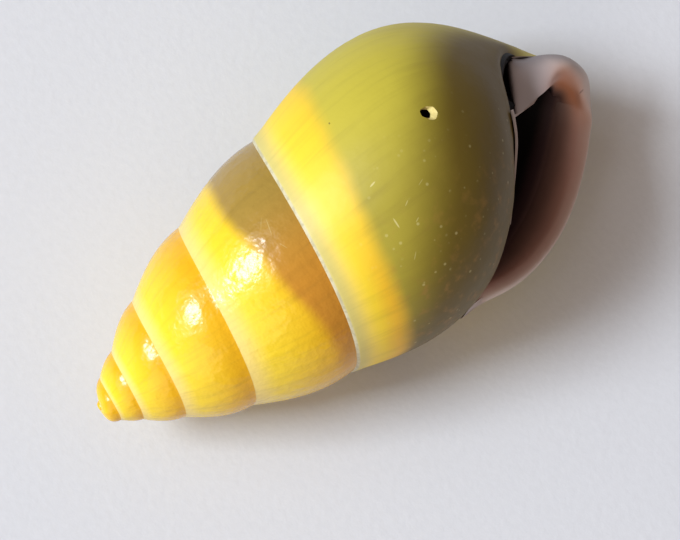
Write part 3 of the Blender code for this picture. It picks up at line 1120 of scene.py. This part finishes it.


# %% [markdown]
# ### Yellow under olive
# The olive starts at an edge that moves a little from turn to turn and is blurred by a slow noise. On
# the older turn it is khaki that warms to rust. On the last turn it is lime that darkens to brown
# over the shoulder, along a line that slants with the growth lines. The brown is partly the shell's
# own colour and partly painted shade of the side turned away from the light.

# %% Ground and olive
AMBER_SPAN = (0.0, 1.15)
CREAM_SPAN = (0.26, 0.0)
CREAM_SHARE = 0.75
OLIVE_EDGE = 0.44
OLIVE_OLD = ((4.2, 3.9), 0.4)
OLIVE_LAST = ((4.95, 5.25), 0.12, 0.04)
OLIVE_SOFT = 0.16
OLIVE_SPAN = (-0.07, 0.09)
OLIVE_SPAN_YOUNG = 0.03
OLIVE_TURNS = (3.8, 3.97)
FRINGE_SPAN = (-0.2, -0.02)
FRINGE_TURNS = (5.1, 4.95)
FRINGE_SHARE = 0.65
SHOULDER_ACROSS = 0.365
SHOULDER_TURN = 5.08
SHOULDER_SLANT = 1.28
SHOULDER_SOFT = 0.05
SHOULDER_SHADE_SPAN = (-0.12, 0.13)
LIME_TURNS = (5.04, 5.17)
MOTTLE_SPAN = (0.5, 0.75)
MOTTLE_TURNS = (5.08, 4.93)
MOTTLE_SHARE = 0.45
RUST_TURNS = (4.02, 4.17)


def ground(f, at):
    """Yellow, warmer towards the lower suture and creamy under the upper one."""
    down = at.across / SIDE_SHARE
    colour = f.mix(down.step(*AMBER_SPAN), YELLOW, AMBER)
    return f.mix(down.step(*CREAM_SPAN) * CREAM_SHARE, colour, CREAM)


def olive_colour(f, at):
    shoulder = at.across - SHOULDER_ACROSS - SHOULDER_SLANT * (at.turn - SHOULDER_TURN)
    shoulder = shoulder + (at.cloud - 0.5) * SHOULDER_SOFT
    green = f.mix(at.turn.step(*LIME_TURNS), LIME, PALE_LIME)
    # painted shade: over the shoulder the lime darkens to brown, partly own colour, partly the shaded
    # side
    dark = f.mix(shoulder.step(*SHOULDER_SHADE_SPAN), green, OLIVE_BROWN_AND_SHADE)
    mottled = at.mottle.step(*MOTTLE_SPAN) * at.turn.step(*MOTTLE_TURNS) * MOTTLE_SHARE
    dark = f.mix(mottled, dark, MOTTLE)
    older = f.mix(at.turn.step(*RUST_TURNS), RUST, KHAKI)
    return f.mix(at.young, older, dark)


def olive_cover(f, at, colour):
    """The olive over the ground, with an orange fringe before its edge."""
    soft = at.across / SIDE_SHARE + (at.cloud - 0.5) * OLIVE_SOFT
    (old_turns, old_rise), (last_turns, last_rise, last_drop) = OLIVE_OLD, OLIVE_LAST
    edge = OLIVE_EDGE + at.turn.step(*old_turns) * old_rise
    edge = edge + at.young * (at.turn.step(*last_turns) * last_rise - last_drop)
    inside = soft - edge
    fringe = inside.step(*FRINGE_SPAN) * at.young * at.turn.step(*FRINGE_TURNS)
    colour = f.mix(fringe * FRINGE_SHARE, colour, FRINGE)
    full = OLIVE_SPAN[1] + at.young * OLIVE_SPAN_YOUNG
    olive = inside.step(OLIVE_SPAN[0], full) * at.turn.step(*OLIVE_TURNS)
    return f.mix(olive, colour, olive_colour(f, at))


# %% [markdown]
# ### Hem, growth lines, specks and scratches
# Small marks sit on top of the colours. Noise stretched along the growth lines tints them, a cell
# pattern gives the pale specks of wear, and each scratch is a thin streak at its own place on the map.

# %% Small marks
LINES_ALONG = 90.0
LINES_ACROSS = 3.0
LINES_SPAN = (0.45, 0.8)
LINES_SHARE = 0.16
HEM_SHADE_SPAN = (0.06, 0.01)
HEM_SHADE_SHARE = 0.5
HEM_SPAN = (0.011, 0.006)
HEM_SHARE = 0.9
BEAD_SCALE = 2000.0
BEAD_SPAN = (0.4, 0.6)
SPECK_SCALE = 1150.0
SPECK_SPAN = (0.2, 0.08)
SPECK_PATCH_SCALE = 420.0
SPECK_PATCHES = (0.42, 0.56)
SPECK_TURNS = (5.15, 5.0)
SPECK_ACROSS = (0.06, 0.2)
SPECK_SHARE = 0.3
TURN_LENGTH = 80.0
ACROSS_LENGTH = 38.0
MARK_SPAN = (1.3, 0.5)
SCRATCH_SHARE = 0.65
SCRATCHES = ((5.080, 0.208, 0.34, 0.075, 80, 0.9), (5.032, 0.216, 0.5, 0.08, -8, 0.8),
             (5.043, 0.262, 0.3, 0.05, 60, 0.5), (5.022, 0.268, 0.24, 0.05, 65, 0.5),
             (4.990, 0.225, 0.4, 0.05, 40, 0.45), (5.052, 0.317, 0.34, 0.04, 70, 0.35),
             (4.118, 0.252, 0.9, 0.05, 10, 0.35), (4.128, 0.236, 0.7, 0.04, 35, 0.3),
             (4.088, 0.262, 0.5, 0.04, -30, 0.35))
DOT = (5.168, 0.192, 0.11, 0.09, 0)
DOT_SHARE = 0.8


def mark(turn, across, at_turn, at_across, length, width, degrees):
    """1 on a thin streak of so many millimetres, at a place on the map, 0 round it."""
    x = (turn - at_turn) * TURN_LENGTH
    y = (across - at_across) * ACROSS_LENGTH
    cos, sin = math.cos(math.radians(degrees)), math.sin(math.radians(degrees))
    along = (x * cos + y * sin) / length
    beside = (y * cos - x * sin) / width
    return (along * along + beside * beside).step(*MARK_SPAN)


def growth_lines(f, at, colour):
    lines = f.node("ShaderNodeCombineXYZ", None, 0, X=at.turn * LINES_ALONG, Y=at.across * LINES_ACROSS)
    return f.mix(f.noise(lines, 1.0, 3.0, 0.6).step(*LINES_SPAN) * LINES_SHARE, colour, BROWN_DOT)


def hem_marks(f, at, colour):
    shade = at.across.step(*HEM_SHADE_SPAN) * at.young * HEM_SHADE_SHARE
    colour = f.mix(shade, colour, HEM_SHADE)
    beads = f.noise(at.here, BEAD_SCALE, 2.0).step(*BEAD_SPAN)
    on_hem = at.across.step(*HEM_SPAN) * at.young * HEM_SHARE
    return f.mix(on_hem, colour, f.mix(beads, HEM_GAP, HEM))


def wear_marks(f, at, colour):
    settings = {"feature": "F1"}
    cells = f.node("ShaderNodeTexVoronoi", settings, 0, Vector=at.here, Scale=SPECK_SCALE)
    patches = f.noise(at.here, SPECK_PATCH_SCALE, 1.0).step(*SPECK_PATCHES)
    chosen = patches * at.young * at.turn.step(*SPECK_TURNS) * at.across.step(*SPECK_ACROSS)
    colour = f.mix(cells.step(*SPECK_SPAN) * chosen * SPECK_SHARE, colour, SPECK)
    for *where, strength in SCRATCHES:
        streak = mark(at.turn, at.across, *where)
        colour = f.mix(streak * (strength * SCRATCH_SHARE), colour, SPECK)
    return f.mix(mark(at.turn, at.across, *DOT) * DOT_SHARE, colour, BROWN_DOT)


# %% [markdown]
# ### The gloss
# The spire still has its glassy glaze, the last turn is worn to a satin. A very faint bump breaks up
# the reflection of the window, as the photo shows.

# %% Outside finish
OLD_ROUGHNESS = 0.17
WORN_ROUGHNESS = 0.28
MOTTLE_ROUGHNESS = 0.06
WRINKLE_SCALE = 1150.0
WRINKLE_WORN = 0.8
WRINKLE_HEIGHT = 0.00009


def outside_finish():
    f = Finish("shell_outside", IOR=1.5, Specular_IOR_Level=0.34)
    at = Place(f)
    colour = olive_cover(f, at, ground(f, at))
    colour = growth_lines(f, at, colour)
    colour = hem_marks(f, at, colour)
    f.set(Base_Color=wear_marks(f, at, colour))
    f.set(Roughness=OLD_ROUGHNESS + at.young * WORN_ROUGHNESS + at.mottle * MOTTLE_ROUGHNESS)
    wrinkle = f.noise(at.here, WRINKLE_SCALE, 2.0, 0.5)
    f.set(Normal=f.bump(wrinkle * (1 - at.young * WRINKLE_WORN), WRINKLE_HEIGHT))
    return f.material


print("scratches:", len(SCRATCHES))

# %% [markdown]
# ## Lip and throat
# The lip is pale and pinkish, greyer on the plate. Going in, the colour turns from flesh through brown
# to nearly black within a few millimetres. The flesh and brown are the glaze's own, and the deepest dark
# is painted shade of the throat. The map's turn says how far behind the lip a point lies.

# %% Lip, inside and broken edge
LIP_PALE = srgb(206, 188, 178)
LIP_GREY = srgb(180, 171, 171)
SLATE_SHADE = srgb(112, 108, 114)
FLESH = srgb(188, 143, 129)
ORANGE = srgb(206, 134, 92)
UMBER = srgb(128, 97, 88)
DARK_BROWN = srgb(64, 46, 48)
SHADE_BLACK = srgb(13, 9, 9)
BARE_PALE = srgb(236, 222, 150)
BARE_DARK = srgb(200, 176, 96)

THROAT_AND_SHADE = ((0.0, 0.016, FLESH), (0.014, 0.034, UMBER),
          (0.03, 0.052, DARK_BROWN), (0.048, 0.075, SHADE_BLACK))
THROAT_SOFT = 0.006
GLAZE_SCALE = 300.0
GLAZE_ROUGHNESS = 0.1
HOLLOW_SHADE_TURNS = (4.92, 5.24)
CHINK_SHADE_ACROSS = (1.2, 1.06)
CHINK_SHADE_TURNS = (4.96, 5.14)
PIT_SHADE_ACROSS = (1.0, 1.02)
PIT_SHADE_FIRST = (4.7, 4.8)
PIT_SHADE_LAST = (5.75, 5.7)


def throat(f, back):
    """The colour at so many turns behind the lip: own flesh and brown, then painted shade going in."""
    colour = LIP_PALE
    for start, end, deeper in THROAT_AND_SHADE:
        colour = f.mix(back.step(start, end), colour, deeper)
    return colour


def glaze_cloud(f):
    here = f.node("ShaderNodeTexCoord", None, 3)
    return f.noise(here, GLAZE_SCALE, 3.0)


def lip_finish():
    """Pale lip, with painted shade in the plate's pit and chink."""
    f = Finish("shell_lip", IOR=1.5, Specular_IOR_Level=0.12)
    cloud = glaze_cloud(f)
    turn, across = growth_map(f)
    colour = f.mix(cloud, LIP_PALE, LIP_GREY)
    # painted shade: the pit and the chink behind the plate's edge are painted umber to near black
    hollow = f.mix(turn.step(*HOLLOW_SHADE_TURNS), UMBER, SHADE_BLACK)
    hollow = f.mix(across.step(*CHINK_SHADE_ACROSS) * turn.step(*CHINK_SHADE_TURNS), hollow, SHADE_BLACK)
    pit = across.step(*PIT_SHADE_ACROSS) * turn.step(*PIT_SHADE_FIRST) * turn.step(*PIT_SHADE_LAST)
    f.set(Base_Color=f.mix(pit, colour, hollow))
    f.set(Roughness=0.4 + cloud * GLAZE_ROUGHNESS)
    return f.material


def inside_finish():
    f = Finish("shell_inside", IOR=1.5, Specular_IOR_Level=0.12)
    turn, across = growth_map(f)
    cloud = glaze_cloud(f)
    back = LAST_TURN - turn + (cloud - 0.5) * THROAT_SOFT
    # painted shade: the throat's colour darkens to near black deeper in
    f.set(Base_Color=throat(f, back))
    f.set(Roughness=0.45 + cloud * GLAZE_ROUGHNESS)
    return f.material


def bare_finish():
    """Dull shell under the glaze, where the hole broke through."""
    f = Finish("shell_bare", Roughness=0.7)
    here = f.node("ShaderNodeTexCoord", None, 3)
    f.set(Base_Color=f.mix(f.noise(here, 2500.0, 2.0), BARE_PALE, BARE_DARK))
    return f.material


# %% [markdown]
# ### The colours of the roll
# The roll's map holds the section instead of the place across. So its grey upper end, the orange
# corner of the throat and the painted shade line on its top edge can each be given by section.

# %% Rolled finish
ORANGE_SECTIONS = ((13.8, 15.6), (20.5, 17.0))
ORANGE_BACK = ((0.002, 0.014), (0.04, 0.016))
ORANGE_SHARE = 0.8
GREY_SECTIONS = (15.6, 12.5)
GREY_BACK = (0.03, 0.016)
SHADE_EDGE_SECTIONS = (17.5, 14.5)
SHADE_EDGE_BACK = (0.006, 0.0)
SHADE_EDGE_SHARE = 0.7
SPOT = (0.0062, 0.882, 0.16, 0.12, 0)
SPOT_SECTION = 0.05
SPOT_SHARE = 0.6


def rolled_finish():
    f = Finish("shell_rolled_lip", IOR=1.5, Specular_IOR_Level=0.4)
    cloud = glaze_cloud(f)
    turn, section = growth_map(f)
    back = LAST_TURN - turn + (cloud - 0.5) * THROAT_SOFT
    (first, last), (near, far) = ORANGE_SECTIONS, ORANGE_BACK
    orange = section.step(*first) * section.step(*last) * back.step(*near) * back.step(*far)
    colour = f.mix(orange * ORANGE_SHARE, throat(f, back), ORANGE)
    colour = f.mix(section.step(*GREY_SECTIONS) * back.step(*GREY_BACK), colour, LIP_GREY)
    # painted shade: a slate line darkens the roll's top edge
    edge = back.step(*SHADE_EDGE_BACK) * section.step(*SHADE_EDGE_SECTIONS)
    colour = f.mix(edge * SHADE_EDGE_SHARE, colour, SLATE_SHADE)
    spot = mark(back, section * SPOT_SECTION, *SPOT)
    f.set(Base_Color=f.mix(spot * SPOT_SHARE, colour, UMBER))
    f.set(Roughness=0.35 + cloud * GLAZE_ROUGHNESS)
    return f.material


finishes = (outside_finish(), lip_finish(), inside_finish(), rolled_finish(), bare_finish())
for index, material in enumerate(finishes):
    mesh.materials[index] = material
print("finishes:", [material.name for material in finishes])
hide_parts("shell")
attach(shell, "root")

# %% [markdown]
# ## The floor
# The shell lies on pale paper. A plane and a very weak bump are enough, as the paper is out of the
# way of the eye.

# %% Floor
FLOOR_SIDE = 1.6
PAPER = (srgb(210, 211, 214), srgb(216, 217, 220))
PAPER_SCALE = 1400.0
PAPER_HEIGHT = 0.0001
PAPER_STRENGTH = 0.25


def make_floor():
    half = FLOOR_SIDE / 2
    corners = [(-half, -half, 0), (half, -half, 0), (half, half, 0), (-half, half, 0)]
    floor_mesh = bpy.data.meshes.new("floor")
    floor_mesh.from_pydata(corners, [], [(0, 1, 2, 3)])
    floor = bpy.data.objects.new("floor", floor_mesh)
    bpy.context.scene.collection.objects.link(floor)
    f = Finish("paper", Roughness=0.8)
    here = f.node("ShaderNodeTexCoord", None, 3)
    fibres = f.noise(here, PAPER_SCALE, 2.0)
    f.set(Base_Color=f.mix(fibres, *PAPER))
    f.set(Normal=f.bump(fibres, PAPER_HEIGHT, PAPER_STRENGTH))
    floor_mesh.materials.append(f.material)
    return floor


make_floor()
print("floor side, m:", FLOOR_SIDE)

# %% [markdown]
# ## The camera
# The photo was taken from nearly above. The camera's direction is given on the standing shell, where
# it was measured, and is laid down together with the shell.

# %% Camera
VIEW_TILT = math.radians(6.63)
VIEW_ROLL = math.radians(36.17)
PHOTO_WIDTH, PHOTO_HEIGHT = 680, 540
PIXELS_PER_MM = 12.0
VIEW_DISTANCE_PX = 2600.0
AXIS_POINT_DEPTH = 22.58
AXIS_POINT_PIXEL = (320.45, 249.5)
SENSOR = 36.0
CLIP_START = 0.01


def make_camera():
    """Camera from its direction in the standing shell's frame, laid down with the shell."""
    towards = Vector((0, -math.cos(VIEW_TILT), math.sin(VIEW_TILT)))
    across = Vector((1, 0, 0))
    along = Vector((0, math.sin(VIEW_TILT), math.cos(VIEW_TILT)))
    right = -along * math.cos(VIEW_ROLL) - across * math.sin(VIEW_ROLL)
    up = -along * math.sin(VIEW_ROLL) + across * math.cos(VIEW_ROLL)
    turn_to = lying().to_3x3()
    right, up, towards = turn_to @ right, turn_to @ up, turn_to @ towards
    aim = turn_to @ Vector((0, 0, -AXIS_POINT_DEPTH * MM)) + Vector(shift)
    data = bpy.data.cameras.new("camera")
    data.sensor_width = SENSOR
    data.lens = VIEW_DISTANCE_PX / PHOTO_WIDTH * SENSOR
    data.shift_x = (PHOTO_WIDTH / 2 - AXIS_POINT_PIXEL[0]) / PHOTO_WIDTH
    data.shift_y = (AXIS_POINT_PIXEL[1] - PHOTO_HEIGHT / 2) / PHOTO_WIDTH
    data.clip_start = CLIP_START
    camera = bpy.data.objects.new("camera", data)
    bpy.context.scene.collection.objects.link(camera)
    pose = Matrix((right, up, towards)).transposed().to_4x4()
    pose.translation = aim + towards * (VIEW_DISTANCE_PX / PIXELS_PER_MM * MM)
    camera.matrix_world = pose
    bpy.context.scene.camera = camera
    return aim, right, up, towards


aim, view_right, view_up, view_towards = make_camera()
print("camera looks down at", round(math.degrees(math.asin(view_towards.z)), 1), "degrees")

# %% [markdown]
# ## The light
# Soft daylight comes in from the left and above: a bright window, and a wider patch of sky round it
# that softens the shadow's edge. A weak warm light stands for the room, and the world fills the rest.

# %% Light
LIGHT_DISTANCE = 2.0
WINDOW_WAY = (-1.0, 0.18, 1.22)
ROOM_WAY = (-0.5, -1.0, 0.9)
DAYLIGHT = (0.9, 0.98, 1.08)
LAMPLIGHT = (1.0, 0.9, 0.78)
LIGHTS = (("window", WINDOW_WAY, (0.7, 0.52), 40.0, DAYLIGHT),
          ("sky", WINDOW_WAY, (1.8, 1.4), 13.0, DAYLIGHT),
          ("room", ROOM_WAY, (1.4, 1.4), 10.0, LAMPLIGHT))
AIR_COLOUR = (1.0, 0.78, 0.67, 1.0)
AIR_STRENGTH = 0.26


def make_light(name, way, size, power, colour):
    """A soft panel; its way is given to the right, up and towards the camera in the picture."""
    data = bpy.data.lights.new(name, "AREA")
    data.shape = "RECTANGLE"
    data.size, data.size_y = size
    data.energy = power
    data.color = colour
    light = bpy.data.objects.new(name, data)
    bpy.context.scene.collection.objects.link(light)
    direction = view_towards * way[2] + view_right * way[0] + view_up * way[1]
    light.location = aim + direction.normalized() * LIGHT_DISTANCE
    light.rotation_euler = direction.to_track_quat("Z", "Y").to_euler()


for light_values in LIGHTS:
    make_light(*light_values)

world = bpy.data.worlds.new("studio")
world.use_nodes = True
air = world.node_tree.nodes["Background"]
air.inputs["Color"].default_value = AIR_COLOUR
air.inputs["Strength"].default_value = AIR_STRENGTH
bpy.context.scene.world = world
bpy.context.scene.view_settings.view_transform = "Standard"
print("lights:", [values[0] for values in LIGHTS])
